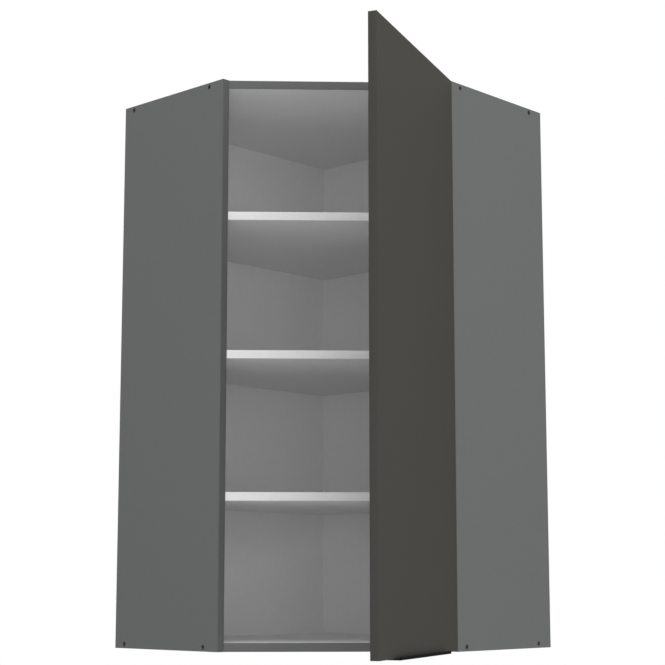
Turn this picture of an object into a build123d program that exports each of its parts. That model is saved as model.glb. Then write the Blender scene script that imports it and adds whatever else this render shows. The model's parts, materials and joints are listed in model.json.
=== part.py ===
from build123d import *
import os
from math import sqrt

# Corner wall cabinet with a diagonal front, in millimetres and degrees.
# The origin is the room corner at the cabinet's underside. The right room wall is the
# plane Y = 0, the left room wall the plane X = 0, and the cabinet fills +X and -Y.

# Carcass
wall_length = 600.0
side_depth = 290.0
cabinet_height = 1080.0
board = 16.0
edge_band = 1.0
back_sheet = 3.0
rebate_width = 8.0
fit_gap = 0.3
drill_gap = 0.1
hole_spare = 1.0

# Sides of the small turned pieces, which are drawn as many-sided bars
fastener_sides = 8
head_sides = 12
nail_sides = 6
socket_sides = 6

# Shelves on pins
shelf_count = 3
lowest_bay = 259.0
highest_bay = 241.6
shelf_side_gap = 1.0
shelf_setback = 1.0
pin_radius = 2.5
pin_in_board = 9.0
pin_stand_out = 7.0
pin_from_front = 45.0
pin_from_rear = 45.0
back_pin_from_corner = 292.0

# Panel screws, countersunk and left open, and the glued dowels
screw_rear_inset = 23.0
left_screw_front_inset = 40.0
right_screw_front_inset = 27.0
screw_length = 50.0
screw_thread_radius = 2.5
screw_shank_radius = 3.5
screw_head_radius = 5.0
screw_head_depth = 4.0
screw_sink = 0.6
screw_socket_radius = 2.3
screw_socket_depth = 2.6
dowel_radius = 4.0
dowel_length = 30.0
dowel_in_face = 11.0
dowel_end_margin = 31.0
back_dowel_count = 5

# Nails of the thin back
nail_count = 4
nail_radius = 0.9
nail_head_radius = 2.0
nail_head_thickness = 0.7
nail_length = 20.0
nail_end_margin = 60.0

# Hanging brackets in the two upper rear corners
hanger_width = 17.0
hanger_depth = 46.0
hanger_height = 62.0
hanger_wall = 2.0
hanger_front_wall = 4.0
hanger_corner = 2.0
hanger_gap = 1.0
hook_reach = 8.0
hook_thickness = 2.5
hook_bend = 1.4
hook_width = 11.0
hook_lip = 11.0
hook_drop = 16.0
hook_leg_gap = 5.0
hanger_screw_radius = 2.0
hanger_screw_length = 15.0
hanger_screw_head_radius = 3.6
hanger_screw_head = 1.8
hanger_screw_inset = 9.0
hanger_screw_spacing = 26.0
adjuster_radius = 2.5
adjuster_head_radius = 3.5
adjuster_head = 1.4
adjuster_inset = 20.0
cover_wall = 1.2
cover_front_gap = 2.0
cover_rear_gap = 1.0
cover_hole_gap = 0.6

# Door, closed inside the corners of the side panels
door_thickness = 16.0
door_gap = 2.2
door_side_gap = 0.9
door_end_gap = 2.0
door_rest_angle = 66.2

# Single-pivot cup hinges: knuckles, pin and the strap on the door
hinge_end_inset = 100.0
hinge_under_shelf = 40.7
knuckle_radius = 2.7
knuckle_to_edge = 2.3
knuckle_to_panel = 0.8
knuckle_gap = 0.3
hinge_pin_radius = 1.4
hinge_pin_gap = 0.05
hinge_pin_head_radius = 2.2
hinge_pin_head = 1.0
arm_height = 16.0
strap_height = 42.0
strap_thickness = 1.2
strap_rise = 2.0
strap_tongue_height = 25.2
neck_half = 0.9
rivet_radius = 2.0
rivet_head_radius = 3.2
rivet_head = 0.8
rivet_grip = 3.0
rivet_spacing = 14.0

# Cups in the door
cup_radius = 17.5
cup_depth = 11.5
cup_wall = 2.0
cup_floor = 1.8
cup_rim = 1.0
cup_to_edge = 23.0
cup_seat_offset = 4.0
cup_pocket_offset = 2.0
flange_thickness = 1.4
flange_width = 17.0
flange_height = 62.0
flange_corner = 3.5
cup_screw_spacing = 48.0
cup_screw_offset = 6.0
cup_screw_radius = 1.9
cup_screw_head_radius = 3.6
cup_screw_head = 0.5
cup_screw_length = 11.0

# Mounting plates and arms on the right side panel
plate_setback = 37.0
plate_hole_spacing = 32.0
plate_height = 48.0
plate_wing_thickness = 2.5
plate_wing_width = 15.0
plate_corner = 3.5
plate_screw_radius = 2.5
plate_screw_length = 12.0
plate_screw_head_radius = 4.2
plate_screw_face_radius = 3.0
plate_screw_head = 1.8
rail_height = 7.0
rail_width = 11.0
rail_front = 19.0
rail_rear = 62.0
rail_chamfer = 1.5
arm_fold = 17.0
arm_slope = 8.0
arm_rear = 58.0
arm_screw_setback = 50.0
arm_screw_radius = 2.0
arm_screw_length = 5.0
arm_screw_head_radius = 3.8
arm_screw_head = 1.8

# Edge-pull handle under the door
handle_length = 268.0
handle_web = 1.8
handle_reach = 11.0
handle_lip = 10.0
handle_lip_thickness = 2.0
handle_nose_chamfer = 0.7
handle_flange = 1.1
handle_flange_height = 22.0
handle_screw_rise = 13.0
handle_screw_spacing = 192.0
handle_screw_radius = 1.7
handle_screw_head_radius = 3.2
handle_screw_head = 0.9
handle_screw_length = 12.0
bumper_radius = 4.0
bumper_thickness = 1.6
bumper_taper = 0.6
bumper_inset = 12.0

# Derived places of the carcass
inner_wall = wall_length - board
front_centre = (inner_wall + side_depth) / 2
half_opening = (inner_wall - side_depth) / sqrt(2)
front = Plane(origin=(front_centre, -front_centre, 0), x_dir=(-1, -1, 0), z_dir=(0, 0, 1))
first_top = 2 * board + lowest_bay
last_top = cabinet_height - board - highest_bay
shelf_pitch = (last_top - first_top) / (shelf_count - 1)
shelf_tops = [first_top + i * shelf_pitch for i in range(shelf_count)]
board_middles = (board / 2, cabinet_height - board / 2)

# Derived places of the door and its pivot, across (s) and out of (f) the diagonal front
door_half = half_opening - door_side_gap
door_back = door_gap
door_front = door_gap + door_thickness
door_bottom = door_end_gap
door_top = cabinet_height - door_end_gap
pin_s = -door_half - knuckle_radius - knuckle_to_edge
pin_f = (knuckle_radius + knuckle_to_panel) * sqrt(2) - pin_s - half_opening
cup_s = -door_half + cup_to_edge
seat_s = cup_s - cup_seat_offset
middle_hinge = shelf_tops[shelf_count // 2] - board - hinge_under_shelf
hinge_heights = (hinge_end_inset, middle_hinge, cabinet_height - hinge_end_inset)

# Axes that pieces are driven along
INTO_RIGHT = (1, 0, 0)
FROM_RIGHT = (-1, 0, 0)
INTO_LEFT = (0, -1, 0)
FROM_LEFT = (0, 1, 0)
OUTWARD = (0, 1, 0)
UP = (0, 0, 1)


def box(x0, x1, y0, y1, z0, z1):
    """A solid block between two corners."""
    block = Box(x1 - x0, y1 - y0, z1 - z0, align=(Align.MIN, Align.MIN, Align.MIN))
    return Pos(x0, y0, z0) * block


def rod(radius, start, direction, length):
    """A solid cylinder from a start point along a direction."""
    place = Plane(origin=start, z_dir=direction).location
    return place * Cylinder(radius, length, align=(Align.CENTER, Align.CENTER, Align.MIN))


def even_face(radius, start, direction, sides):
    """An even many-sided face across a direction, its corners at the radius."""
    return Plane(origin=start, z_dir=direction) * RegularPolygon(radius, sides)


def peg(radius, start, direction, length, sides=fastener_sides):
    """A straight many-sided bar from a start point along a direction."""
    return extrude(even_face(radius, start, direction, sides), length, dir=direction)


def tapered_peg(radius_start, radius_end, start, direction, length, sides=fastener_sides):
    """A many-sided bar whose radius changes evenly along a direction."""
    near = even_face(radius_start, start, direction, sides)
    end = even_face(radius_end, along(start, direction, length), direction, sides)
    return loft([near, end], ruled=True)


def slab(points, z0, z1):
    """A flat outline raised from one height to another."""
    return Pos(0, 0, z0) * extrude(make_face(Polyline(*points, close=True)), z1 - z0)


def along(start, direction, distance):
    """The point at a distance from a start point."""
    return tuple(p + d * distance for p, d in zip(start, direction))


def mirrored(solid):
    """The same piece on the other side of the cabinet's vertical symmetry plane."""
    return mirror(solid, Plane(origin=(0, 0, 0), z_dir=(1, 1, 0)))


# Top, bottom and shelves
def corner_outline(side_gap, front_inset):
    """The five-sided outline between the side panels and the two backs."""
    diagonal = 2 * front_centre - front_inset * sqrt(2)
    left, right = back_sheet + side_gap, inner_wall - side_gap
    rear, near = -board - side_gap, -inner_wall + side_gap
    return [
        (left, rear),
        (right, rear),
        (right, right - diagonal),
        (diagonal + near, near),
        (left, near),
    ]


def floor_panel(side_gap, front_inset, z0):
    """A five-sided board and the edge band along its diagonal front."""
    core = slab(corner_outline(side_gap, front_inset + edge_band), z0, z0 + board)
    whole = slab(corner_outline(side_gap, front_inset), z0, z0 + board)
    return core, whole - core


def shelf_pin_places(shelf_top):
    """Five pins under one shelf: two on each side panel and one on the back board."""
    z = shelf_top - board - pin_radius
    right_front, right_rear = -side_depth + pin_from_front, -board - pin_from_rear
    left_front, left_rear = side_depth - pin_from_front, back_sheet + pin_from_rear
    return [
        ((inner_wall, right_front, z), INTO_RIGHT),
        ((inner_wall, right_rear, z), INTO_RIGHT),
        ((left_front, -inner_wall, z), INTO_LEFT),
        ((left_rear, -inner_wall, z), INTO_LEFT),
        ((back_pin_from_corner, -board, z), OUTWARD),
    ]


def all_shelf_pins():
    """The pins of every shelf."""
    return [place for top in shelf_tops for place in shelf_pin_places(top)]


def shelf_pin(start, direction):
    """A steel pin, one end in the board and the other under the shelf."""
    begin = along(start, direction, -pin_stand_out)
    return peg(pin_radius, begin, direction, pin_stand_out + pin_in_board)


def shelf_pin_hole(start, direction):
    """The blind hole of a shelf pin."""
    return peg(pin_radius + drill_gap, start, direction, pin_in_board + hole_spare)


# Panel screws and dowels
def side_screw_places():
    """Start points on the outside of the right and left side panels, with directions."""
    right_rows = (-board - screw_rear_inset, -side_depth + right_screw_front_inset)
    left_rows = (back_sheet + screw_rear_inset, side_depth - left_screw_front_inset)
    places = []
    for z in board_middles:
        for row in right_rows:
            places.append(((wall_length, row, z), FROM_RIGHT))
        for row in left_rows:
            places.append(((row, -wall_length, z), FROM_LEFT))
    return places


def panel_screw(start, direction):
    """A panel screw: sunk head with a six-sided socket, plain shank and thread."""
    begin = along(start, direction, screw_sink)
    radii = (screw_head_radius, screw_shank_radius)
    head = tapered_peg(*radii, begin, direction, screw_head_depth, head_sides)
    shank = peg(screw_shank_radius, begin, direction, board - screw_sink, head_sides)
    thread = peg(screw_thread_radius, begin, direction, screw_length)
    socket = peg(screw_socket_radius, begin, direction, screw_socket_depth, socket_sides)
    return head + shank + thread - socket


def panel_screw_hole(start, direction):
    """The stepped hole of a panel screw, wider all round by the drilling gap."""
    begin = along(start, direction, screw_sink)
    mouth = peg(screw_head_radius + drill_gap, start, direction, screw_sink, head_sides)
    radii = (screw_head_radius + drill_gap, screw_shank_radius + drill_gap)
    head = tapered_peg(*radii, begin, direction, screw_head_depth + drill_gap, head_sides)
    shank = peg(screw_shank_radius + drill_gap, begin, direction, board - screw_sink, head_sides)
    thread = peg(screw_thread_radius + drill_gap, begin, direction, screw_length + hole_spare)
    return mouth + head + shank + thread


def panel_dowel_places():
    """Dowels between each side panel and the top and bottom panels."""
    right_middle = (-board - screw_rear_inset - side_depth + right_screw_front_inset) / 2
    left_middle = (back_sheet + screw_rear_inset + side_depth - left_screw_front_inset) / 2
    places = []
    for z in board_middles:
        places.append(((inner_wall + dowel_in_face, right_middle, z), FROM_RIGHT))
        places.append(((left_middle, -inner_wall - dowel_in_face, z), FROM_LEFT))
    return places


def back_dowel_places():
    """Dowels from the right side panel into the end of the back board."""
    first = board + dowel_end_margin
    last = cabinet_height - board - hanger_height - dowel_end_margin
    step = (last - first) / (back_dowel_count - 1)
    return [
        ((inner_wall + dowel_in_face, -board / 2, first + i * step), FROM_RIGHT)
        for i in range(back_dowel_count)
    ]


def dowel(start, direction, gap=0.0):
    """A wooden dowel, or its hole when a gap is given."""
    begin = along(start, direction, -gap)
    return peg(dowel_radius + gap, begin, direction, dowel_length + 2 * gap)


# Hanging brackets, drawn on the right side panel and mirrored to the left
hanger_left = inner_wall - hanger_width
hanger_top = cabinet_height - board - hanger_gap
hanger_bottom = hanger_top - hanger_height
hook_top = hanger_top - hook_drop
hook_x = (hanger_left + inner_wall) / 2
hook_leg_y = -hanger_depth + hanger_front_wall + hook_leg_gap


def hanger_screw_places():
    """Two fixing screws from inside the housing into the side panel."""
    x = inner_wall - hanger_wall
    low = hanger_bottom + hanger_screw_inset
    return [((x, -hanger_depth / 2, z), INTO_RIGHT) for z in (low, low + hanger_screw_spacing)]


def adjuster_places():
    """The depth and height adjusters in the housing's front wall."""
    lower, upper = hanger_bottom + adjuster_inset, hook_top - hook_thickness / 2
    return [((hook_x, -hanger_depth, z), OUTWARD) for z in (lower, upper)]


def hanger_body():
    """A housing open at the rear, with holes for its screws and adjusters."""
    shell = box(hanger_left, inner_wall, -hanger_depth, 0, hanger_bottom, hanger_top)
    shell = chamfer(shell.edges().filter_by(Axis.Z).group_by(Axis.Y)[0], hanger_corner)
    room = box(
        hanger_left + hanger_wall,
        inner_wall - hanger_wall,
        -hanger_depth + hanger_front_wall,
        hole_spare,
        hanger_bottom + hanger_wall,
        hanger_top - hanger_wall,
    )
    body = shell - room
    for start, direction in hanger_screw_places():
        body -= peg(hanger_screw_radius + drill_gap, start, direction, hanger_wall + hole_spare)
    for start, direction in adjuster_places():
        reach = hanger_front_wall + hole_spare
        body -= peg(adjuster_radius + drill_gap, start, direction, reach)
    return body


def hanger_hook():
    """A steel strip that leaves the housing and turns down behind the wall rail."""
    left, right = hook_x - hook_width / 2, hook_x + hook_width / 2
    leg_foot = hanger_bottom + hanger_wall + fit_gap
    bar = box(left, right, hook_leg_y, hook_reach, hook_top - hook_thickness, hook_top)
    lip = box(left, right, hook_reach - hook_thickness, hook_reach, hook_top - hook_lip, hook_top)
    leg = box(left, right, hook_leg_y, hook_leg_y + hook_thickness, leg_foot, hook_top)
    hook = bar + lip + leg
    return chamfer(hook.edges().filter_by(Axis.X).sort_by(Axis.Z)[-2:], hook_bend)


def adjuster(start, direction):
    """A screw from the front wall to the hook's leg."""
    face = along(start, direction, -adjuster_head)
    head = peg(adjuster_head_radius, face, direction, adjuster_head)
    return head + peg(adjuster_radius, start, direction, hook_leg_y + hanger_depth)


def hanger_screw(start, direction):
    """A short chipboard screw inside the housing."""
    face = along(start, direction, -hanger_screw_head)
    head = peg(hanger_screw_head_radius, face, direction, hanger_screw_head)
    return head + peg(hanger_screw_radius, start, direction, hanger_screw_length)


def hanger_screw_hole(start, direction):
    """The pilot hole of a bracket's fixing screw."""
    return peg(hanger_screw_radius + drill_gap, start, direction, hanger_screw_length + hole_spare)


def hanger_cover():
    """A plastic cap clipped over the free faces of the housing."""
    side, front_face = hanger_left - fit_gap, -hanger_depth - cover_front_gap
    foot = hanger_bottom - fit_gap
    outer = box(
        side - cover_wall,
        inner_wall,
        front_face - cover_wall,
        -board - cover_rear_gap,
        foot - cover_wall,
        hanger_top,
    )
    near_corner = outer.edges().filter_by(Axis.Z).group_by(Axis.Y)[0].sort_by(Axis.X)[0]
    outer = chamfer(near_corner, hanger_corner)
    inner = box(side, inner_wall + hole_spare, front_face, 0, foot, hanger_top + hole_spare)
    cover = outer - inner
    for start, direction in adjuster_places():
        begin = along(start, direction, -cover_front_gap - cover_wall - hole_spare)
        reach = cover_wall + 2 * hole_spare
        cover -= peg(adjuster_head_radius + cover_hole_gap, begin, direction, reach)
    return cover


def hanger_notch(thickness):
    """The opening in a back for one bracket."""
    return box(
        hanger_left - fit_gap,
        inner_wall + hole_spare,
        -thickness - hole_spare,
        hole_spare,
        hanger_bottom - fit_gap,
        cabinet_height - board,
    )


# Hinges. The cabinet halves are drawn on the right side panel, the door halves on the
# closed door in the front frame, and the door with all it carries is then swung open.
def front_point(s, f):
    """The place in the cabinet of a point across (s) and out of (f) the diagonal front."""
    return (front_centre + (f - s) / sqrt(2), -front_centre - (s + f) / sqrt(2))


pin_x, pin_y = front_point(pin_s, pin_f)
arm_face_x = inner_wall - rail_height - fit_gap
arm_web_x = arm_face_x - strap_thickness / 2
wing_face_x = inner_wall - plate_wing_thickness
strap_flat_x = inner_wall - strap_thickness / 2
strap_front_y = -side_depth + strap_thickness / 2
plate_y = -side_depth + plate_setback
arm_half = arm_height / 2
strap_half = strap_height / 2
tongue_half = strap_tongue_height / 2
arm_screw_y = -side_depth + arm_screw_setback


def arm_profile():
    """The arm seen from above: over the rail, down to the panel, round its corner."""
    path = Polyline(
        (arm_web_x, -side_depth + arm_rear),
        (arm_web_x, -side_depth + arm_fold),
        (strap_flat_x, -side_depth + arm_fold - arm_slope),
        (strap_flat_x, strap_front_y),
        (pin_x, strap_front_y),
    )
    return trace(path, strap_thickness)


def hinge_arm(z):
    """Folded arm with two side flanges, a neck and the middle knuckle."""
    arm = Pos(0, 0, z - arm_half) * extrude(arm_profile(), arm_height)
    flange_x = wing_face_x - fit_gap
    rear_y, fold_y = -side_depth + arm_rear, -side_depth + arm_fold
    for low in (z - arm_half, z + arm_half - strap_thickness):
        arm += box(arm_web_x, flange_x, fold_y, rear_y, low, low + strap_thickness)
    neck_left, neck_right = pin_x - neck_half, pin_x + neck_half
    arm += box(neck_left, neck_right, pin_y, strap_front_y, z - arm_half, z + arm_half)
    arm += peg(knuckle_radius, (pin_x, pin_y, z - arm_half), UP, arm_height, head_sides)
    arm -= rod(hinge_pin_radius + hinge_pin_gap, (pin_x, pin_y, z - arm_half), UP, arm_height)
    screw_hole = (arm_face_x - strap_thickness, arm_screw_y, z)
    return arm - peg(arm_screw_radius + drill_gap, screw_hole, INTO_RIGHT, strap_thickness)


def hinge_arm_recess(z):
    """The shallow slot in the panel's front edge that the arm's end lies in."""
    half = arm_half + drill_gap
    return box(
        inner_wall - hole_spare,
        pin_x + neck_half + drill_gap,
        -side_depth - hole_spare,
        -side_depth + strap_thickness + drill_gap,
        z - half,
        z + half,
    )


def plate_screw_places(z):
    """The two screws of one mounting plate."""
    half = plate_hole_spacing / 2
    return [((wing_face_x, plate_y, height), INTO_RIGHT) for height in (z - half, z + half)]


def hinge_plate(z):
    """A cross-shaped mounting plate: two wings on the panel and the rail on them."""
    half_width, half_height = plate_wing_width / 2, plate_height / 2
    wings = box(
        wing_face_x,
        inner_wall,
        plate_y - half_width,
        plate_y + half_width,
        z - half_height,
        z + half_height,
    )
    wings = chamfer(wings.edges().filter_by(Axis.X), plate_corner)
    rail = box(
        inner_wall - rail_height,
        inner_wall,
        -side_depth + rail_front,
        -side_depth + rail_rear,
        z - rail_width / 2,
        z + rail_width / 2,
    )
    plate = wings + chamfer(rail.edges().filter_by(Axis.Z).group_by(Axis.X)[0], rail_chamfer)
    for start, direction in plate_screw_places(z):
        plate -= peg(plate_screw_radius + drill_gap, start, direction, plate_wing_thickness)
    screw_hole = (inner_wall - rail_height, arm_screw_y, z)
    return plate - peg(arm_screw_radius + drill_gap, screw_hole, INTO_RIGHT, arm_screw_length)


def plate_screw(start, direction):
    """A system screw with a low tapered head."""
    face = along(start, direction, -plate_screw_head)
    radii = (plate_screw_face_radius, plate_screw_head_radius)
    head = tapered_peg(*radii, face, direction, plate_screw_head)
    return head + peg(plate_screw_radius, start, direction, plate_screw_length)


def plate_screw_hole(start, direction):
    """The bore of a mounting plate's screw."""
    return peg(plate_screw_radius + drill_gap, start, direction, plate_screw_length + hole_spare)


def arm_screw(z):
    """The screw that clamps the arm on the rail."""
    seat = (arm_face_x - strap_thickness, arm_screw_y, z)
    face = along(seat, INTO_RIGHT, -arm_screw_head)
    head = peg(arm_screw_head_radius, face, INTO_RIGHT, arm_screw_head)
    return head + peg(arm_screw_radius, seat, INTO_RIGHT, arm_screw_length)


def hinge_pin(z):
    """The pivot pin with a head above and below the knuckles."""
    low = z - strap_half
    pin = rod(hinge_pin_radius, (pin_s, pin_f, low), UP, strap_height)
    for end in (low - hinge_pin_head, low + strap_height):
        pin += peg(hinge_pin_head_radius, (pin_s, pin_f, end), UP, hinge_pin_head, head_sides)
    return pin


def strap_knuckles(z):
    """Heights of the door's two knuckles, above and below the arm's."""
    inner = arm_half + knuckle_gap
    return [(z - strap_half, z - inner), (z + inner, z + strap_half)]


def hinge_strap(z):
    """The door's strap: on the cup, round the door's back corner, up to two knuckles."""
    face = door_back + strap_thickness
    edge = -door_half + strap_thickness
    strap = box(-door_half, seat_s, door_back, face, z - tongue_half, z + tongue_half)
    rise = pin_f + strap_rise
    strap += box(-door_half, edge, door_back, rise, z - strap_half, z + strap_half)
    for low, high in strap_knuckles(z):
        strap += box(pin_s, edge, pin_f - neck_half, pin_f + neck_half, low, high)
        strap += peg(knuckle_radius, (pin_s, pin_f, low), UP, high - low, head_sides)
    strap -= rod(hinge_pin_radius, (pin_s, pin_f, z - strap_half), UP, strap_height)
    for start, direction in rivet_places(z):
        strap -= peg(rivet_radius + drill_gap, start, direction, strap_thickness)
    return strap


def strap_recess(z):
    """The slot in the door's back face and edge that the strap lies in."""
    depth = strap_thickness + drill_gap
    tongue_room, edge_room = tongue_half + drill_gap, strap_half + drill_gap
    outside, behind = -door_half - hole_spare, door_back - hole_spare
    back_cut = box(outside, cup_s, behind, door_back + depth, z - tongue_room, z + tongue_room)
    rise = pin_f + strap_rise + drill_gap
    edge_cut = box(outside, -door_half + depth, behind, rise, z - edge_room, z + edge_room)
    return back_cut + edge_cut


def rivet_places(z):
    """Two rivets through the strap into the solid half of the cup."""
    s = cup_s - cup_radius / 2
    half = rivet_spacing / 2
    return [((s, door_back, height), OUTWARD) for height in (z - half, z + half)]


def rivet(start, direction):
    """A rivet with a flat head."""
    head = peg(rivet_head_radius, along(start, direction, -rivet_head), direction, rivet_head)
    return head + peg(rivet_radius, start, direction, strap_thickness + rivet_grip)


def cup_screw_places(z):
    """The two screws in the wings of one cup."""
    s, f = cup_s + cup_screw_offset, door_back - flange_thickness
    half = cup_screw_spacing / 2
    return [((s, f, height), OUTWARD) for height in (z - half, z + half)]


def cup_flange(z):
    """The cup's two wings and the rim round its pocket."""
    half_height = flange_height / 2
    face = door_back - flange_thickness
    wings = box(
        seat_s, seat_s + flange_width, face, door_back, z - half_height, z + half_height
    )
    wings = chamfer(wings.edges().filter_by(Axis.Y), flange_corner)
    rim_radius = cup_radius + cup_rim
    rim = rod(rim_radius, (cup_s, face, z), OUTWARD, flange_thickness)
    far = cup_s - rim_radius
    return wings + rim - box(far, seat_s, face, door_back, z - rim_radius, z + rim_radius)


def cup_pocket(z):
    """The half-round hollow of a cup, open at the door's back."""
    depth = flange_thickness + cup_depth - cup_floor
    radius = cup_radius - cup_wall
    start = (cup_s, door_back - flange_thickness, z)
    left, right = cup_s - cup_pocket_offset, cup_s + radius
    kept = box(left, right, start[1], start[1] + depth, z - radius, z + radius)
    return rod(radius, start, OUTWARD, depth) & kept


def hinge_cup(z):
    """A die-cast cup with a pocket, a seat for the strap, and two wings."""
    body = rod(cup_radius, (cup_s, door_back, z), OUTWARD, cup_depth) + cup_flange(z)
    body -= cup_pocket(z)
    seat_depth, seat_room = strap_thickness + drill_gap, tongue_half + drill_gap
    far = cup_s - cup_radius
    body -= box(far, seat_s, door_back, door_back + seat_depth, z - seat_room, z + seat_room)
    for start, direction in cup_screw_places(z):
        body -= peg(cup_screw_radius + drill_gap, start, direction, flange_thickness)
    for start, direction in rivet_places(z):
        reach = strap_thickness + rivet_grip + drill_gap
        body -= peg(rivet_radius + drill_gap, start, direction, reach)
    return body


def cup_screw(start, direction):
    """A thin-headed screw through a wing of the cup into the door."""
    head = peg(cup_screw_head_radius, along(start, direction, -cup_screw_head), direction, cup_screw_head)
    return head + peg(cup_screw_radius, start, direction, cup_screw_length)


def cup_screw_hole(start, direction):
    """The pilot hole of a cup's screw."""
    return peg(cup_screw_radius + drill_gap, start, direction, cup_screw_length + hole_spare)


def cup_bore(z):
    """The bore in the door's back for the cup."""
    start = (cup_s, door_back - hole_spare, z)
    return rod(cup_radius + drill_gap, start, OUTWARD, hole_spare + cup_depth + drill_gap)


# Door pieces, drawn closed in the front frame
def door_board():
    """The door's board without its bands, cut for the hinges, screws and handle."""
    half, low, high = door_half - edge_band, door_bottom + edge_band, door_top - edge_band
    core = box(-half, half, door_back, door_front, low, high)
    cuts = [cut(z) for z in hinge_heights for cut in (cup_bore, strap_recess)]
    cuts += [cup_screw_hole(*p) for z in hinge_heights for p in cup_screw_places(z)]
    cuts += [handle_screw_hole(*p) for p in handle_screw_places()]
    return core - cuts


def door_bands():
    """Four plastic bands: two full-height ones and two between them."""
    inner = door_half - edge_band
    hinge_side = box(-door_half, -inner, door_back, door_front, door_bottom, door_top)
    free_side = box(inner, door_half, door_back, door_front, door_bottom, door_top)
    low = box(-inner, inner, door_back, door_front, door_bottom, door_bottom + edge_band)
    high = box(-inner, inner, door_back, door_front, door_top - edge_band, door_top)
    return [hinge_side - [strap_recess(z) for z in hinge_heights], free_side, low, high]


def handle_profile():
    """The J section: flange on the door's back, web under the door, lip in front."""
    nose = door_front + handle_reach
    inner_lip = nose - handle_lip_thickness
    web_top = door_bottom - drill_gap
    web_low = web_top - handle_web
    flange_back = door_back - handle_flange
    return [
        (flange_back, web_low),
        (nose, web_low),
        (nose, web_low + handle_lip),
        (inner_lip, web_low + handle_lip),
        (inner_lip, web_top),
        (door_back, web_top),
        (door_back, web_low + handle_flange_height),
        (flange_back, web_low + handle_flange_height),
    ]


def door_handle():
    """An extruded edge pull, the corners of its nose broken."""
    section = Plane(origin=(-handle_length / 2, 0, 0), x_dir=OUTWARD, z_dir=INTO_RIGHT)
    face = make_face(section * Polyline(*handle_profile(), close=True))
    pull = extrude(face, handle_length, dir=INTO_RIGHT)
    pull = chamfer(pull.edges().filter_by(Axis.X).group_by(Axis.Y)[-1], handle_nose_chamfer)
    for start, direction in handle_screw_places():
        pull -= peg(handle_screw_radius + drill_gap, start, direction, handle_flange)
    return pull


def handle_screw_places():
    """The two screws through the handle's flange, behind the door."""
    half = handle_screw_spacing / 2
    f = door_back - handle_flange
    return [((s, f, handle_screw_rise), OUTWARD) for s in (-half, half)]


def handle_screw(start, direction):
    """A thin-headed screw through the handle's flange into the door's back."""
    face = along(start, direction, -handle_screw_head)
    head = peg(handle_screw_head_radius, face, direction, handle_screw_head)
    return head + peg(handle_screw_radius, start, direction, handle_screw_length)


def handle_screw_hole(start, direction):
    """The pilot hole of a handle's screw."""
    return peg(handle_screw_radius + drill_gap, start, direction, handle_screw_length + hole_spare)


def door_bumper(z):
    """A soft buffer on the door's back near its free edge."""
    start = (door_half - bumper_inset, door_back - bumper_thickness, z)
    radii = (bumper_radius - bumper_taper, bumper_radius)
    return tapered_peg(*radii, start, OUTWARD, bumper_thickness, head_sides)


def swung_open(solid):
    """Places a piece of the closed door in the cabinet and swings it to its resting angle."""
    turned = Pos(pin_s, pin_f, 0) * Rot(0, 0, door_rest_angle) * Pos(-pin_s, -pin_f, 0)
    return front.location * turned * solid


# Carcass boards with their cuts
def holes_along(places, wanted, hole):
    """The holes at those places that are driven in the wanted direction."""
    return [hole(start, direction) for start, direction in places if direction == wanted]


def dowel_hole(start, direction):
    """The hole of a dowel, in both boards."""
    return dowel(start, direction, gap=drill_gap)


def right_side():
    """The side panel on the right wall, which carries the hinges and the back board."""
    panel = box(inner_wall, wall_length, -side_depth + edge_band, 0, 0, cabinet_height)
    cuts = holes_along(side_screw_places(), FROM_RIGHT, panel_screw_hole)
    cuts += holes_along(panel_dowel_places() + back_dowel_places(), FROM_RIGHT, dowel_hole)
    cuts += holes_along(all_shelf_pins(), INTO_RIGHT, shelf_pin_hole)
    cuts += [hinge_arm_recess(z) for z in hinge_heights]
    cuts += [plate_screw_hole(*p) for z in hinge_heights for p in plate_screw_places(z)]
    cuts += [hanger_screw_hole(*p) for p in hanger_screw_places()]
    return panel - cuts


def left_side():
    """The side panel on the left wall, rebated for the thin back."""
    panel = box(0, side_depth - edge_band, -wall_length, -inner_wall, 0, cabinet_height)
    rebate_y = -inner_wall - rebate_width
    rebate = box(0, back_sheet, rebate_y, -inner_wall, 0, cabinet_height)
    cuts = [rebate] + holes_along(side_screw_places(), FROM_LEFT, panel_screw_hole)
    cuts += holes_along(panel_dowel_places(), FROM_LEFT, dowel_hole)
    cuts += holes_along(all_shelf_pins(), INTO_LEFT, shelf_pin_hole)
    cuts += [mirrored(hanger_screw_hole(*p)) for p in hanger_screw_places()]
    return panel - cuts


def side_bands():
    """The front edge bands of the two side panels."""
    band_y = -side_depth + edge_band
    right = box(inner_wall, wall_length, -side_depth, band_y, 0, cabinet_height)
    left = box(side_depth - edge_band, side_depth, -wall_length, -inner_wall, 0, cabinet_height)
    return [right - [hinge_arm_recess(z) for z in hinge_heights], left]


def floor_cuts():
    """Screw threads, dowels and nails that enter the top and bottom panels."""
    holes = [panel_screw_hole(*p) for p in side_screw_places()]
    holes += [dowel_hole(*p) for p in panel_dowel_places()]
    return holes + [nail_hole(*p) for p in nail_places()]


def back_board():
    """The thick back on the right room wall, notched for its bracket."""
    panel = box(back_sheet, inner_wall, -board, 0, 0, cabinet_height)
    cuts = [hanger_notch(board)] + [dowel_hole(*p) for p in back_dowel_places()]
    cuts += holes_along(all_shelf_pins(), OUTWARD, shelf_pin_hole)
    return panel - cuts - [nail_hole(*p) for p in nail_places()]


def left_sheet():
    """The thin back on the left room wall, let into the side panel's rebate."""
    near = -inner_wall - rebate_width + fit_gap
    sheet = box(0, back_sheet, near, 0, 0, cabinet_height)
    return sheet - mirrored(hanger_notch(back_sheet)) - [nail_hole(*p) for p in nail_places()]


def spread(first, last, count):
    """Evenly spaced values from the first to the last."""
    return [first + (last - first) * i / (count - 1) for i in range(count)]


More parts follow.
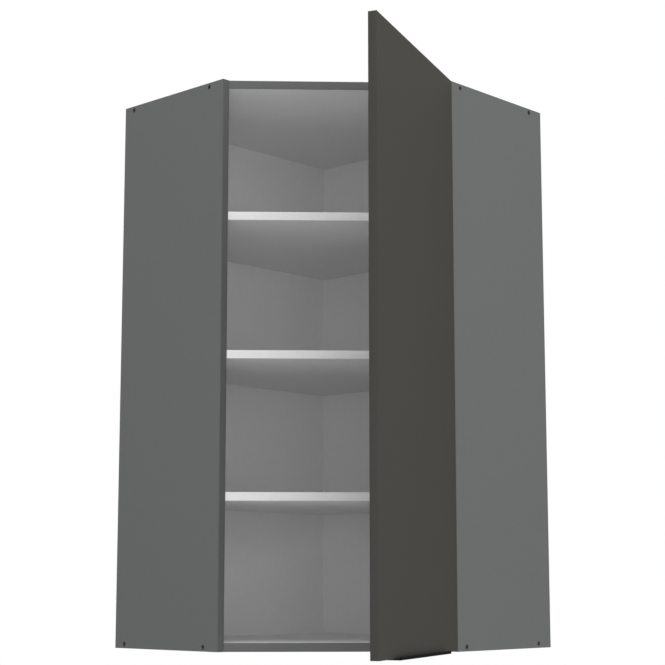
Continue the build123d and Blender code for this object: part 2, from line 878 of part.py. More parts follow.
def nail_places():
    """Nails along the sheet's top and bottom edges and into the end of the back board."""
    rows = spread(-nail_end_margin, -inner_wall + 2 * nail_end_margin, nail_count)
    heights = spread(nail_end_margin, cabinet_height - nail_end_margin, nail_count)
    return [(y, z) for y in rows for z in board_middles] + [(-board / 2, z) for z in heights]


def nail(y, z):
    """A small nail, its head let flush into the sheet."""
    stem = peg(nail_radius, (0, y, z), INTO_RIGHT, nail_length, nail_sides)
    return stem + peg(nail_head_radius, (0, y, z), INTO_RIGHT, nail_head_thickness, nail_sides)


def nail_hole(y, z):
    """The hole of a nail and the shallow seat of its head."""
    place = (0, y, z)
    stem = peg(nail_radius + drill_gap, place, INTO_RIGHT, nail_length + drill_gap, nail_sides)
    seat = peg(nail_head_radius + drill_gap, place, INTO_RIGHT, nail_head_thickness, nail_sides)
    return stem + seat


# Assembly
def carcass_nodes():
    """The boards, shelves and their fastenings."""
    bottom, bottom_band = floor_panel(0, 0, 0)
    top, top_band = floor_panel(0, 0, cabinet_height - board)
    cuts = floor_cuts()
    nodes = {
        "right_side_panel": [right_side()],
        "left_side_panel": [left_side()],
        "side_edge_bands": side_bands(),
        "bottom_panel": [bottom - cuts],
        "top_panel": [top - cuts],
        "floor_edge_bands": [bottom_band, top_band],
        "right_back_board": [back_board()],
        "left_back_sheet": [left_sheet()],
        "panel_screws": [panel_screw(*p) for p in side_screw_places()],
        "joint_dowels": [dowel(*p) for p in panel_dowel_places() + back_dowel_places()],
        "back_sheet_nails": [nail(*p) for p in nail_places()],
        "shelf_pins": [shelf_pin(*p) for p in all_shelf_pins()],
        "shelf_edge_bands": [],
    }
    for name, shelf_top in zip(("lower", "middle", "upper"), shelf_tops):
        core, strip = floor_panel(shelf_side_gap, shelf_setback, shelf_top - board)
        nodes["shelf_" + name] = [core]
        nodes["shelf_edge_bands"].append(strip)
    return nodes


def hanger_nodes():
    """The right bracket's pieces and their mirror images."""
    right = {
        "hanger_bodies": [hanger_body()],
        "hanger_hooks": [hanger_hook()],
        "hanger_covers": [hanger_cover()],
        "hanger_screws": [hanger_screw(*p) for p in hanger_screw_places()],
        "hanger_adjusters": [adjuster(*p) for p in adjuster_places()],
    }
    return {name: solids + [mirrored(s) for s in solids] for name, solids in right.items()}


def hinge_carcass_nodes():
    """The hinge pieces that stay on the side panel."""
    return {
        "hinge_plates": [hinge_plate(z) for z in hinge_heights],
        "hinge_plate_screws": [plate_screw(*p) for z in hinge_heights for p in plate_screw_places(z)],
        "hinge_arms": [hinge_arm(z) for z in hinge_heights],
        "hinge_arm_screws": [arm_screw(z) for z in hinge_heights],
    }


def door_nodes():
    """The door and all that swings with it."""
    bumper_heights = (door_bottom + bumper_inset, door_top - bumper_inset)
    closed = {
        "door_panel": [door_board()],
        "door_edge_bands": door_bands(),
        "hinge_straps": [hinge_strap(z) for z in hinge_heights],
        "hinge_pins": [hinge_pin(z) for z in hinge_heights],
        "hinge_rivets": [rivet(*p) for z in hinge_heights for p in rivet_places(z)],
        "hinge_cups": [hinge_cup(z) for z in hinge_heights],
        "hinge_cup_screws": [cup_screw(*p) for z in hinge_heights for p in cup_screw_places(z)],
        "door_handle": [door_handle()],
        "handle_screws": [handle_screw(*p) for p in handle_screw_places()],
        "door_bumpers": [door_bumper(z) for z in bumper_heights],
    }
    return {name: [swung_open(s) for s in solids] for name, solids in closed.items()}


def write_nodes(nodes):
    """One file for each named piece or group of like pieces."""
    os.makedirs("parts", exist_ok=True)
    for name, solids in nodes.items():
        shape = Compound(children=[s for part in solids for s in part.solids()])
        shape.label = name
        export_step(shape, os.path.join("parts", name + ".step"))


write_nodes(carcass_nodes())
write_nodes(hanger_nodes())
write_nodes(hinge_carcass_nodes())
write_nodes(door_nodes())
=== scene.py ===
import json
import math

import bmesh
import bpy
import numpy as np
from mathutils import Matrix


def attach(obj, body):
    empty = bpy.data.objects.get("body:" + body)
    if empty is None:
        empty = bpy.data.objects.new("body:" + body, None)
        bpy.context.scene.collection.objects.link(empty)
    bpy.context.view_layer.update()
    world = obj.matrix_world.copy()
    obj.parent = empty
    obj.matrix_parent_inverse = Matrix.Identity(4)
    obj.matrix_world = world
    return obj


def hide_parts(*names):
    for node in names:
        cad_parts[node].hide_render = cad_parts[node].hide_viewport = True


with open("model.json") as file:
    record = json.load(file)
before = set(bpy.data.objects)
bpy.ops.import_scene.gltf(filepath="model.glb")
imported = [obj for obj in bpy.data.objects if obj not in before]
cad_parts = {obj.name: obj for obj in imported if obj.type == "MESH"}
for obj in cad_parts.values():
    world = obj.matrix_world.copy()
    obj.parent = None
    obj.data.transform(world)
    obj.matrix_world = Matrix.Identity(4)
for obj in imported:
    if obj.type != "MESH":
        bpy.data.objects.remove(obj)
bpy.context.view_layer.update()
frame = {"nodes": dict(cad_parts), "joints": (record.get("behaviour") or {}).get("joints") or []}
cad_nodes = frame["nodes"]
scene = bpy.context.scene

# ---------------------------------------------------------------- camera
# The photograph was taken from just above the cabinet's underside, square to its open
# diagonal front, with a long lens tilted up a little.
PHOTO_SIDE = 665
SENSOR = 36.0
FOCAL_PIXELS = 1593.04
CAMERA_PLACE = (2.4515, -2.6081, 0.1255)
CAMERA_AZIMUTH = math.radians(43.042)
CAMERA_TILT = math.radians(8.449)
FRAME_RISE = 0.02

camera_data = bpy.data.cameras.new("camera")
camera_data.sensor_width = SENSOR
camera_data.lens = FOCAL_PIXELS * SENSOR / PHOTO_SIDE
camera_data.shift_y = FRAME_RISE
camera_data.clip_start, camera_data.clip_end = 0.05, 60.0
camera = bpy.data.objects.new("camera", camera_data)
camera.location = CAMERA_PLACE
camera.rotation_euler = (math.pi / 2 + CAMERA_TILT, 0.0, CAMERA_AZIMUTH)
scene.collection.objects.link(camera)
scene.camera = camera
scene.view_settings.view_transform = "Standard"


# ---------------------------------------------------------------- surroundings
# A plain pale floor well below the hanging cabinet that fades to white far away, plain
# soft light from all round, and three large lamps: in front, overhead and behind.
def node(tree, kind, inputs=(), **settings):
    """A shader node with its settings, and the values or sockets that feed it."""
    made = tree.nodes.new("ShaderNode" + kind)
    for name, value in settings.items():
        setattr(made, name, value)
    for name, value in dict(inputs).items():
        if isinstance(value, bpy.types.NodeSocket):
            tree.links.new(value, made.inputs[name])
        else:
            made.inputs[name].default_value = value
    return made


def in_sight(tree):
    """One for what the camera sees, directly or in gloss or glass, and zero for light."""
    path = node(tree, "LightPath").outputs
    either = node(tree, "Math", {0: path["Is Camera Ray"], 1: path["Is Glossy Ray"]},
                  operation="MAXIMUM").outputs[0]
    return node(tree, "Math", {0: either, 1: path["Is Transmission Ray"]},
                operation="MAXIMUM").outputs[0]


WHITE = (1.0, 1.0, 1.0, 1.0)
SKY_LIGHT = 0.34
world = bpy.data.worlds.new("studio")
world.use_nodes = True
scene.world = world
sky = world.node_tree
sky.nodes.clear()
sky_light = node(sky, "Background", {"Color": WHITE, "Strength": SKY_LIGHT}).outputs[0]
sky_white = node(sky, "Background", {"Color": WHITE, "Strength": 1.0}).outputs[0]
sky_mix = node(sky, "MixShader", {0: in_sight(sky), 1: sky_light, 2: sky_white}).outputs[0]
node(sky, "OutputWorld", {"Surface": sky_mix})

FLOOR_HEIGHT = -1.45
FLOOR_REACH = 14.0
FLOOR_RINGS, FLOOR_SPOKES = 6, 48
FLOOR_TONE = (0.86, 0.86, 0.86, 1.0)
FADE_FROM, FADE_TO = 2.0, 7.0
NEAR_GLOW = 0.72


def disc(radius, height, rings, spokes):
    """A flat round sheet: each ring is a circle of growing radius, joined to the next."""
    r = radius * (np.arange(rings + 1) / rings)[:, None]
    a = 2 * np.pi * np.arange(spokes)[None, :] / spokes
    points = np.stack([r * np.cos(a), r * np.sin(a), height + 0 * (r * a)], -1).reshape(-1, 3)
    i, j = np.meshgrid(np.arange(1, rings), np.arange(spokes), indexing="ij")
    k = (j + 1) % spokes
    inner, outer = i * spokes, (i + 1) * spokes
    quads = np.stack([inner + j, outer + j, outer + k, inner + k], -1)
    hub = [list(range(spokes, 2 * spokes))]
    return points, quads.reshape(-1, 4).tolist() + hub


def new_piece(name, points, faces, material):
    """A mesh object at the origin of those points and faces, its faces turned outwards."""
    mesh = bpy.data.meshes.new(name)
    mesh.from_pydata(points.tolist(), [], faces)
    shell = bmesh.new()
    shell.from_mesh(mesh)
    bmesh.ops.recalc_face_normals(shell, faces=shell.faces)
    shell.to_mesh(mesh)
    shell.free()
    mesh.polygons.foreach_set("use_smooth", np.ones(len(mesh.polygons), bool))
    mesh.set_sharp_from_angle(angle=math.radians(35))
    mesh.materials.append(material)
    piece = bpy.data.objects.new(name, mesh)
    scene.collection.objects.link(piece)
    return piece


floor_paint = bpy.data.materials.new("pale_floor")
floor_paint.use_nodes = True
paint = floor_paint.node_tree
paint.nodes.clear()
matt = node(paint, "BsdfDiffuse", {"Color": FLOOR_TONE}).outputs[0]
glow = node(paint, "Emission", {"Color": WHITE, "Strength": 1.0}).outputs[0]
floor_place = node(paint, "TexCoord").outputs["Object"]
floor_distance = node(paint, "VectorMath", {0: floor_place}, operation="LENGTH")
floor_fade = node(paint, "MapRange", {
    "Value": floor_distance.outputs["Value"], "From Min": FADE_FROM, "From Max": FADE_TO,
    "To Min": NEAR_GLOW, "To Max": 1.0,
}).outputs[0]
floor_seen = node(paint, "Math", {0: in_sight(paint), 1: floor_fade}, operation="MULTIPLY")
floor_mix = node(paint, "MixShader", {0: floor_seen.outputs[0], 1: matt, 2: glow}).outputs[0]
node(paint, "OutputMaterial", {"Surface": floor_mix})
floor = new_piece("floor", *disc(FLOOR_REACH, FLOOR_HEIGHT, FLOOR_RINGS, FLOOR_SPOKES), floor_paint)


def soft_lamp(name, place, target, size, watts):
    """A square area lamp at a place, turned towards a target."""
    data = bpy.data.lights.new(name, "AREA")
    data.shape, data.size, data.energy = "SQUARE", size, watts
    lamp = bpy.data.objects.new(name, data)
    back = np.subtract(place, target)
    across = math.hypot(back[0], back[1])
    lamp.location = place
    lamp.rotation_euler = (math.atan2(across, back[2]), 0, math.atan2(back[0], -back[1]))
    lamp.visible_camera = False
    scene.collection.objects.link(lamp)


CABINET_MIDDLE = (0.37, -0.37, 0.54)
soft_lamp("front_lamp", (3.1, -2.35, 0.45), CABINET_MIDDLE, size=3.0, watts=63.0)
soft_lamp("overhead_lamp", (1.3, -1.3, 3.4), CABINET_MIDDLE, size=1.6, watts=37.0)
soft_lamp("rear_lamp", (-2.2, 2.2, 1.3), CABINET_MIDDLE, size=2.4, watts=42.0)


# ---------------------------------------------------------------- side panels
# Two upright boards of 16 mm chipboard. A dark melamine film covers the outside, a
# light one the inside, and the cut edges at top, bottom and rear are bare chipboard.
def linear(r, g, b):
    """A screen colour of 0 to 255 as the linear values that shaders take."""
    c = np.array([r, g, b]) / 255.0
    return (*np.where(c <= 0.04045, c / 12.92, ((c + 0.055) / 1.055) ** 2.4), 1.0)


def new_finish(name):
    """An empty node material, its tree and its object coordinates."""
    material = bpy.data.materials.new(name)
    material.use_nodes = True
    tree = material.node_tree
    tree.nodes.clear()
    return material, tree, node(tree, "TexCoord").outputs["Object"]


def surface(tree, inputs):
    """Ends a material in the plain surface shader with those inputs."""
    shader = node(tree, "BsdfPrincipled", inputs)
    node(tree, "OutputMaterial", {"Surface": shader.outputs[0]})


def varied(tree, place, colour, scale, amount, detail=3.0):
    """The colour made lighter and darker by a soft noise of that scale."""
    noise = node(tree, "TexNoise", {"Vector": place, "Scale": scale, "Detail": detail})
    light = tuple(min(1.0, c * (1 + amount)) for c in colour[:3]) + (1.0,)
    dark = tuple(c * (1 - amount) for c in colour[:3]) + (1.0,)
    return node(tree, "MixRGB", {
        "Fac": noise.outputs["Fac"], "Color1": dark, "Color2": light,
    }).outputs[0]


def film_grain(tree, place, depth):
    """The fine pearl of a pressed melamine film, as a bump."""
    fine = node(tree, "TexNoise", {"Vector": place, "Scale": 1400.0, "Detail": 2.0})
    coarse = node(tree, "TexNoise", {"Vector": place, "Scale": 260.0, "Detail": 2.0})
    height = node(tree, "Math", {0: fine.outputs["Fac"], 1: coarse.outputs["Fac"]},
                  operation="ADD").outputs[0]
    return node(tree, "Bump", {"Height": height, "Strength": 0.35, "Distance": depth}).outputs[0]


CHIP_BROWN, CHIP_TAN = linear(112, 84, 58), linear(201, 172, 132)
TEAR = (0.003, 0.003, 0.003)


def chip_colour(tree, place):
    """Pressed wood chips: torn slivers of two sizes in tan and brown, with dust between."""
    torn = node(tree, "TexNoise", {"Vector": place, "Scale": 700.0, "Detail": 3.0})
    torn_place = node(tree, "VectorMath", {0: torn.outputs["Color"], 1: TEAR, 2: place},
                      operation="MULTIPLY_ADD").outputs[0]
    chips = node(tree, "TexVoronoi", {"Vector": torn_place, "Scale": 480.0, "Randomness": 1.0})
    splinters = node(tree, "TexVoronoi", {"Vector": torn_place, "Scale": 1300.0, "Randomness": 1.0})
    dust = node(tree, "TexNoise", {"Vector": place, "Scale": 2200.0, "Detail": 4.0})
    mixed = node(tree, "MixRGB", {
        "Fac": 0.4, "Color1": chips.outputs["Color"], "Color2": splinters.outputs["Color"],
    }).outputs[0]
    shade = node(tree, "MixRGB", {"Fac": 0.35, "Color1": mixed, "Color2": dust.outputs["Fac"]})
    ramp = node(tree, "ValToRGB", {"Fac": shade.outputs[0]})
    brown, tan = ramp.color_ramp.elements
    brown.position, brown.color = 0.25, CHIP_BROWN
    tan.position, tan.color = 0.75, CHIP_TAN
    return ramp.outputs[0]


PLANE_SPARE = 0.0002


def on_plane(tree, place, axis, value):
    """One on the plane where that coordinate has that value, and zero elsewhere."""
    parts = node(tree, "SeparateXYZ", {0: place})
    return node(tree, "Math", {0: parts.outputs[axis], 1: value, 2: PLANE_SPARE},
                operation="COMPARE").outputs[0]


def faced_board(name, axis, outer, inner, outer_colour, inner_colour):
    """Chipboard with one film on its outer plane and another on its inner plane."""
    material, tree, place = new_finish(name)
    outside = on_plane(tree, place, axis, outer)
    inside = on_plane(tree, place, axis, inner)
    film = node(tree, "Math", {0: outside, 1: inside}, operation="MAXIMUM").outputs[0]
    inner_film = varied(tree, place, inner_colour, scale=90.0, amount=0.03)
    outer_film = varied(tree, place, outer_colour, scale=90.0, amount=0.05)
    colour = node(tree, "MixRGB", {
        "Fac": inside, "Color1": chip_colour(tree, place), "Color2": inner_film,
    }).outputs[0]
    colour = node(tree, "MixRGB", {"Fac": outside, "Color1": colour, "Color2": outer_film})
    sheen = node(tree, "MapRange", {"Value": film, "To Min": 0.85, "To Max": 0.5})
    surface(tree, {
        "Base Color": colour.outputs[0],
        "Roughness": sheen.outputs[0],
        "Specular IOR Level": 0.3,
        "Normal": film_grain(tree, place, depth=0.00006),
    })
    return material


def dress(name, material):
    """Gives a CAD node's object that material in each of its slots."""
    for slot in cad_nodes[name].material_slots:
        slot.material = material


WALL = 0.600
BOARD = 0.016
HEIGHT = 1.080
INNER_WALL = WALL - BOARD
DARK_GREY = linear(106, 108, 107)
LIGHT_GREY = linear(242, 242, 242)
dress("right_side_panel",
      faced_board("right_side_board", 0, WALL, INNER_WALL, DARK_GREY, LIGHT_GREY))
dress("left_side_panel",
      faced_board("left_side_board", 1, -WALL, -INNER_WALL, DARK_GREY, LIGHT_GREY))

# ---------------------------------------------------------------- top and bottom panels
# Two five-sided chipboards that stand between the side panels, held by screws and
# dowels. They have the dark film outwards and the light one inwards.
dress("top_panel", faced_board("top_board", 2, HEIGHT, HEIGHT - BOARD, DARK_GREY, LIGHT_GREY))
dress("bottom_panel", faced_board("bottom_board", 2, 0.0, BOARD, DARK_GREY, LIGHT_GREY))

# ---------------------------------------------------------------- backs
# A full board in light film on the right room wall, and a thin fibre sheet, painted
# light on its inner face, let into the left side panel's rebate.
SHEET = 0.003
FIBRE_BROWN = linear(134, 100, 70)
dress("right_back_board", faced_board("back_board", 1, 0.0, -BOARD, LIGHT_GREY, LIGHT_GREY))


def painted_sheet(name, plane):
    """Brown fibre sheet with fine flecks, printed light on its inner plane."""
    material, tree, place = new_finish(name)
    fibre = varied(tree, place, FIBRE_BROWN, scale=700.0, amount=0.25, detail=6.0)
    print_tone = varied(tree, place, LIGHT_GREY, scale=90.0, amount=0.03)
    inside = on_plane(tree, place, 0, plane)
    colour = node(tree, "MixRGB", {"Fac": inside, "Color1": fibre, "Color2": print_tone})
    surface(tree, {
        "Base Color": colour.outputs[0],
        "Roughness": 0.6,
        "Specular IOR Level": 0.25,
        "Normal": film_grain(tree, place, depth=0.00005),
    })
    return material


dress("left_back_sheet", painted_sheet("fibre_sheet", SHEET))

# ---------------------------------------------------------------- shelves
# Three loose boards in light film on both faces; their cut edges at the sides and
# rear are bare chipboard.
shelf_tops = {"shelf_lower": 0.291, "shelf_middle": 0.5567, "shelf_upper": 0.8224}
for shelf, top in shelf_tops.items():
    dress(shelf, faced_board(shelf + "_board", 2, top, top - BOARD, LIGHT_GREY, LIGHT_GREY))


# ---------------------------------------------------------------- edge bands
# One-millimetre plastic tape ironed on the front edges: dark on sides, top and bottom,
# light on the shelves. Its free edges are rounded, its glued ones square.
def tape(name, colour, roughness=0.5, gloss=0.3):
    """Extruded plastic tape: an even colour over a fine bump."""
    material, tree, place = new_finish(name)
    surface(tree, {
        "Base Color": varied(tree, place, colour, scale=120.0, amount=0.04),
        "Roughness": roughness,
        "Specular IOR Level": gloss,
        "Normal": film_grain(tree, place, depth=0.00004),
    })
    return material


MM = 0.001


def corner_arcs(before, corners, after, radii, steps):
    """An arc at each corner, of that corner's radius and tangent to the lines to the points
    before and after it. Its middle lies on the corner's bisector, at the radius over the
    half angle's sine."""
    before, after = before - corners, after - corners
    before = before / np.linalg.norm(before, axis=1, keepdims=True)
    after = after / np.linalg.norm(after, axis=1, keepdims=True)
    half = np.arccos(np.clip((before * after).sum(1), -1, 1))[:, None] / 2
    middle = before + after
    middle /= np.linalg.norm(middle, axis=1, keepdims=True)
    centre = corners + middle * radii / np.sin(half)
    start = (corners + before * radii / np.tan(half))[:, None]
    end = (corners + after * radii / np.tan(half))[:, None]
    share = np.linspace(0, 1, steps)[None, :, None]
    chord = start * (1 - share) + end * share - centre[:, None]
    arc = chord / np.linalg.norm(chord, axis=2, keepdims=True) * radii[:, None]
    return (centre[:, None] + arc).reshape(-1, 2)


def rounded_outline(corners, radii, steps=5):
    """A closed outline with an arc of radius i at corner i."""
    corners = np.asarray(corners, float)
    radii = np.broadcast_to(np.asarray(radii, float), len(corners))[:, None]
    return corner_arcs(np.roll(corners, 1, 0), corners, np.roll(corners, -1, 0), radii, steps)


def rectangle(left, right, low, high):
    """The four corners between two values across and two values up."""
    return [(left, low), (right, low), (right, high), (left, high)]


def drawn_along(outline, start, end, out, up, mitre=0.0):
    """An outline (out and up, in mm) carried from one point to another and closed at both
    ends. Each end is moved inwards by the mitre times the distance out."""
    outline = np.asarray(outline) * MM
    start, end = np.asarray(start, float), np.asarray(end, float)
    section = outline[:, :1] * np.asarray(out) + outline[:, 1:] * np.asarray(up)
    moved = mitre * outline[:, :1] * (end - start) / np.linalg.norm(end - start)
    points = np.concatenate([start + section + moved, end + section - moved])
    count = len(section)
    j = np.arange(count)
    k = (j + 1) % count
    walls = np.column_stack([j, k, count + k, count + j]).tolist()
    return points, walls + [j[::-1].tolist(), (count + j).tolist()]


def joined(*shapes):
    """Several shapes as one list of points and one of faces."""
    points, faces, base = [], [], 0
    for shape_points, shape_faces in shapes:
        points.append(shape_points)
        faces += [[v + base for v in face] for face in shape_faces]
        base += len(shape_points)
    return np.concatenate(points), faces


def fitted(name, shape, material, body, node_name):
    """A finished piece that stands for a CAD node: it rides on the node's body, and the node is
    hidden.
    """
    piece = new_piece(name, *shape, material)
    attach(piece, body)
    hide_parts(node_name)
    return piece


TAPE = 1.0
TAPE_ROUND = 0.7
GLUED_CORNER = 0.02
SIDE_INNER, SIDE_OUTER = 584.0, 600.0
SIDE_FRONT = 0.290
FRONT_CENTRE = 0.437
FRONT_HALF = 0.207889
ARM_CUT_HALF = 0.0081
ARM_CUT_END = 594.3
SHELF_SETBACK = 1.0
SHELF_HALF = 0.206475
hinge_heights = (0.100, 0.500, 0.980)
to_side = np.array([-1.0, -1.0]) / math.sqrt(2)
to_front = np.array([1.0, -1.0]) / math.sqrt(2)


def taped(near, far, low, high):
    """A tape's section: square where it is glued, at near, and rounded on its face, at far."""
    return rounded_outline(rectangle(near, far, low, high),
                           (GLUED_CORNER, TAPE_ROUND, TAPE_ROUND, GLUED_CORNER))


def stretches(low, high, places, half):
    """The lengths of a tape between its ends and its cuts, each with whether it is at a cut."""
    marks = [low, *(place + side for place in places for side in (-half, half)), high]
    return [(a, b, n % 2 == 1) for n, (a, b) in enumerate(zip(marks, marks[1:]))]


def front_tape(height, setback, half):
    """The tape on a board's diagonal front, its ends cut in line with the side panels."""
    middle = FRONT_CENTRE * np.array([1.0, -1.0])
    ends = [(*(middle + side * to_side), height) for side in (-half, half)]
    return drawn_along(taped(-setback - TAPE, -setback, 0.0, BOARD / MM), *ends,
                       (*to_front, 0.0), (0, 0, 1), mitre=1.0)


dark_tape = tape("dark_tape", linear(92, 93, 93))
light_tape = tape("light_tape", linear(234, 234, 234))
right_tapes = [
    drawn_along(taped(-TAPE, 0.0, ARM_CUT_END if at_cut else SIDE_INNER, SIDE_OUTER),
                (0, -SIDE_FRONT, low), (0, -SIDE_FRONT, high), (0, -1, 0), (1, 0, 0))
    for low, high, at_cut in stretches(0.0, HEIGHT, hinge_heights, ARM_CUT_HALF)
]
left_tape = drawn_along(taped(-TAPE, 0.0, SIDE_INNER, SIDE_OUTER),
                        (SIDE_FRONT, 0, 0), (SIDE_FRONT, 0, HEIGHT), (1, 0, 0), (0, -1, 0))
fitted("side_tapes", joined(*right_tapes, left_tape),
       dark_tape, "carcass", "side_edge_bands")
fitted("floor_tapes", joined(*[
    front_tape(base, 0.0, FRONT_HALF) for base in (0.0, HEIGHT - BOARD)
]), dark_tape, "carcass", "floor_edge_bands")
fitted("shelf_tapes", joined(*[
    front_tape(top - BOARD, SHELF_SETBACK, SHELF_HALF) for top in shelf_tops.values()
]), light_tape, "carcass", "shelf_edge_bands")


# ---------------------------------------------------------------- back sheet nails
# Twelve short steel nails with flat heads, driven flush through the thin back into the
# top and bottom panels and the end of the back board.
def metal(name, colour, roughness, streak=(1.0, 1.0, 1.0), metallic=1.0, gloss=0.5):
    """Plated or painted metal: faint cloudy tarnish and a fine drawn grain."""
    material, tree, place = new_finish(name)
    drawn = node(tree, "Mapping", {"Vector": place, "Scale": streak}).outputs[0]
    grain = node(tree, "TexNoise", {"Vector": drawn, "Scale": 900.0, "Detail": 3.0}).outputs["Fac"]
    sheen = node(tree, "MapRange", {
        "Value": grain, "To Min": roughness * 0.75, "To Max": roughness * 1.25,
    })
    bump = node(tree, "Bump", {"Height": grain, "Strength": 0.3, "Distance": 0.00004})
    surface(tree, {
        "Base Color": varied(tree, place, colour, scale=160.0, amount=0.08),
        "Metallic": metallic,
        "Roughness": sheen.outputs[0],
        "Specular IOR Level": gloss,
        "Normal": bump.outputs[0],
    })
    return material


plated = metal("plated_steel", linear(164, 166, 169), 0.4)


def turned(profile, spokes=32, dent=None):
    """A surface of revolution about the third axis. Ring i has the profile's i-th radius and
    height, in mm, and its first and last points are the poles. The dent, a function of a
    point's place and height, is added to the height."""
    profile = np.asarray(profile, float) * MM
    radius, height = profile[1:-1, :1], profile[1:-1, 1:]
    turn = 2 * np.pi * np.arange(spokes)[None, :] / spokes
    grid = np.stack([radius * np.cos(turn), radius * np.sin(turn), height + 0 * turn], -1)
    grid = grid.reshape(-1, 3)
    poles = np.column_stack([np.zeros((2, 2)), profile[[0, -1], 1]])
    points = np.vstack([grid, poles])
    if dent is not None:
        points[:, 2] += dent(points[:, 0] / MM, points[:, 1] / MM, points[:, 2] / MM) * MM
    rings, j = len(radius), np.arange(spokes)
    k = (j + 1) % spokes
    i = np.arange(rings - 1)[:, None] * spokes
    quads = np.stack([i + j, i + k, i + spokes + k, i + spokes + j], -1).reshape(-1, 4)
    first = np.column_stack([np.full(spokes, len(grid)), k, j])
    edge = (rings - 1) * spokes
    last = np.column_stack([np.full(spokes, len(grid) + 1), edge + j, edge + k])
    return points, quads.tolist() + first.tolist() + last.tolist()


def set_along(shape, starts, axis):
    """Copies of a shape, one from each start point in metres, its third axis laid along a
    direction."""
    points, faces = shape
    axis = np.array(axis, float)
    upright = abs(axis[2]) >= 0.5
    across = np.array([1.0, 0.0, 0.0]) if upright else np.array([0.0, 0.0, 1.0])
    laid = points @ np.stack([across, np.cross(axis, across), axis])
    every = np.concatenate([laid + np.asarray(start) for start in starts])
    count = len(points)
    return every, [[v + n * count for v in face] for n in range(len(starts)) for face in faces]


NAIL = [(0, 0), (0.8, 0.02), (1.5, 0.08), (1.85, 0.2), (2.0, 0.42), (1.9, 0.7), (0.95, 0.9),
        (0.85, 2.0), (0.85, 18.0), (0.3, 19.6), (0, 20)]
board_middles = (BOARD / 2, HEIGHT - BOARD / 2)
nail_rows = np.linspace(-60, -464, 4) * MM
nail_heights = np.linspace(60, 1020, 4) * MM
nail_places = [(0, y, z) for y in nail_rows for z in board_middles]
nail_places += [(0, -BOARD / 2, z) for z in nail_heights]
fitted("driven_nails", set_along(turned(NAIL, 20), nail_places, (1, 0, 0)),
       plated, "carcass", "back_sheet_nails")

# ---------------------------------------------------------------- shelf pins
# Fifteen nickel-plated pins with a collar, pushed into the boards. Each shelf lies on
# two at each side and one on the back board.
SHELF_PIN = [(0, -7), (1.5, -6.97), (2.1, -6.8), (2.4, -6.5), (2.45, -6.1), (2.45, -1.0),
             (2.7, -0.92), (3.3, -0.92), (3.5, -0.75), (3.5, -0.25), (3.35, -0.06), (2.3, -0.04),
             (2.25, 8.4), (1.9, 9.0), (0, 9.0)]
PIN_DROP = 0.0025
RIGHT_PIN_ROWS = (-0.245, -0.061)
LEFT_PIN_ROWS = (0.245, 0.048)
BACK_PIN_ROW = 0.292
pin_heights = [top - BOARD - PIN_DROP for top in shelf_tops.values()]
pin = turned(SHELF_PIN, 28)
fitted("collared_pins", joined(
    set_along(pin, [(INNER_WALL, y, z) for z in pin_heights for y in RIGHT_PIN_ROWS], (1, 0, 0)),
    set_along(pin, [(x, -INNER_WALL, z) for z in pin_heights for x in LEFT_PIN_ROWS], (0, -1, 0)),
    set_along(pin, [(BACK_PIN_ROW, -BOARD, z) for z in pin_heights], (0, 1, 0)),
), plated, "carcass", "shelf_pins")

# ---------------------------------------------------------------- panel screws
# Eight screws with sunk heads and six-sided sockets, driven through the side panels into the
# ends of the top and bottom panels. Their heads are coloured near-black as painted shade,
# standing for the shadow in their countersunk holes.
SOCKET_DEEP, SOCKET_HALF, SOCKET_SLOPE = 2.4, 2.05, 0.25
SOCKET_FACE = 0.8


def six_sided_socket(x, y, height):
    """A pit of even depth inside a hexagon, with steep walls, in the face of a head."""
    angles = np.radians([0, 60, 120])[:, None]
    apothem = np.abs(x * np.cos(angles) + y * np.sin(angles)).max(0)
    wall = np.clip((SOCKET_HALF - apothem) / SOCKET_SLOPE, 0, 1)
    return SOCKET_DEEP * wall * (height < SOCKET_FACE)


FACE_RINGS = (0.5, 1.0, 1.5, 1.8, 2.0, 2.2, 2.4, 2.7, 3.2, 3.9)
PANEL_SCREW = [(0, 0.6), *[(r, 0.6) for r in FACE_RINGS], (4.6, 0.62), (4.85, 0.75),
               (4.85, 1.0), (3.45, 4.6), (3.4, 5.2), (3.4, 15.8), (2.35, 16.4), (2.35, 47.0),
               (1.4, 49.6), (0, 50.4)]
RIGHT_SCREW_ROWS = (-0.039, -0.263)
LEFT_SCREW_ROWS = (0.026, 0.250)
# Near-black steel: painted shade for the shadow inside the screws' sunk holes.
painted_shade_steel = metal("steel_in_painted_shade", linear(42, 42, 44), 0.5, metallic=0.0)
screw = turned(PANEL_SCREW, 36, six_sided_socket)
fitted("socket_screws", joined(
    set_along(screw, [(WALL, y, z) for z in board_middles for y in RIGHT_SCREW_ROWS], (-1, 0, 0)),
    set_along(screw, [(x, -WALL, z) for z in board_middles for x in LEFT_SCREW_ROWS], (0, 1, 0)),
), painted_shade_steel, "carcass", "panel_screws")


# ---------------------------------------------------------------- dowels
# Nine fluted beech dowels glued in the corners, out of sight once the cabinet is put
# together.
def beech():
    """Turned beech: fine pores and growth lines along the dowel."""
    material, tree, place = new_finish("beech")
    drawn = node(tree, "Mapping", {"Vector": place, "Scale": (0.12, 0.12, 1.0)}).outputs[0]
    pores = varied(tree, drawn, linear(206, 170, 126), scale=800.0, amount=0.2, detail=5.0)
    surface(tree, {"Base Color": pores, "Roughness": 0.7})
    return material


dress("joint_dowels", beech())


# ---------------------------------------------------------------- hanging brackets
# Cast zinc housings under white plastic caps, with steel hooks, each screwed to its side
# panel in the upper rear corner and set by two screws.
def plastic(name, colour, roughness):
    """Moulded plastic with a spark-eroded skin."""
    material, tree, place = new_finish(name)
    skin = node(tree, "TexNoise", {"Vector": place, "Scale": 1100.0, "Detail": 2.0})
    bump = node(tree, "Bump", {
        "Height": skin.outputs["Fac"], "Strength": 0.3, "Distance": 0.00005,
    })
    surface(tree, {
        "Base Color": varied(tree, place, colour, scale=60.0, amount=0.03),
        "Roughness": roughness,
        "Normal": bump.outputs[0],
    })
    return material


